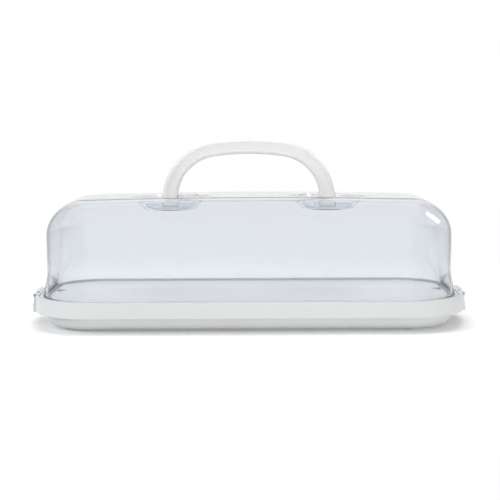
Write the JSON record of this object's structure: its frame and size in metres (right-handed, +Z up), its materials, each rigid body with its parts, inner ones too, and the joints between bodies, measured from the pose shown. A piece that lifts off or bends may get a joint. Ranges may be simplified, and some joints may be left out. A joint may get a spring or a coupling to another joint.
{
  "type": "cake carrier",
  "caption": "Long round-cornered cake carrier: a tray with a lift-out plate, a clear domed lid held by end latches, and an arched carry handle that swings in the lid's top.",
  "frame": {"origin": "under the feet, at the middle of the carrier's length and depth", "axes": "+X along the length to the picture's right, +Y away from the camera, +Z up"},
  "size_m": [0.4572, 0.19, 0.194],
  "materials": {
    "white_tray": "satin white",
    "clear_lid": "clear, faintly blue, polished",
    "white_handle": "satin white",
    "grey_latch": "satin pale grey",
    "foot_pad": "matt off-white",
    "steel_pin": "plain bright"
  },
  "bodies": {
    "tray": {"tray": "white_tray", "foot_front_left": "foot_pad", "foot_front_right": "foot_pad", "foot_back_left": "foot_pad", "foot_back_right": "foot_pad"},
    "plate": {"serving_plate": "white_tray"},
    "lid": {"lid": "clear_lid", "handle_bracket_left": "white_handle", "handle_bracket_right": "white_handle", "handle_pin_left": "steel_pin", "handle_pin_right": "steel_pin", "latch_pin_left": "steel_pin", "latch_pin_right": "steel_pin"},
    "handle": {"handle": "white_handle"},
    "latch_left": {"latch_left": "grey_latch"},
    "latch_right": {"latch_right": "grey_latch"}
  },
  "joints": [
    {"name": "lid_lift", "type": "slide", "parent": "tray", "child": "lid", "axis": [0, 0, 1], "range_m": [0, 0.15]},
    {"name": "plate_lift", "type": "slide", "parent": "tray", "child": "plate", "axis": [0, 0, 1], "range_m": [0, 0.06]},
    {"name": "handle_swing", "type": "hinge", "parent": "lid", "child": "handle", "pos_m": [0, 0, 0.1305], "axis": [1, 0, 0], "range_deg": [-66, 66]},
    {"name": "latch_left_swing", "type": "hinge", "parent": "lid", "child": "latch_left", "pos_m": [-0.2262, 0, 0.0309], "axis": [0, 1, 0], "range_deg": [0, 110]},
    {"name": "latch_right_swing", "type": "hinge", "parent": "lid", "child": "latch_right", "pos_m": [0.2262, 0, 0.0309], "axis": [0, -1, 0], "range_deg": [0, 110]}
  ]
}
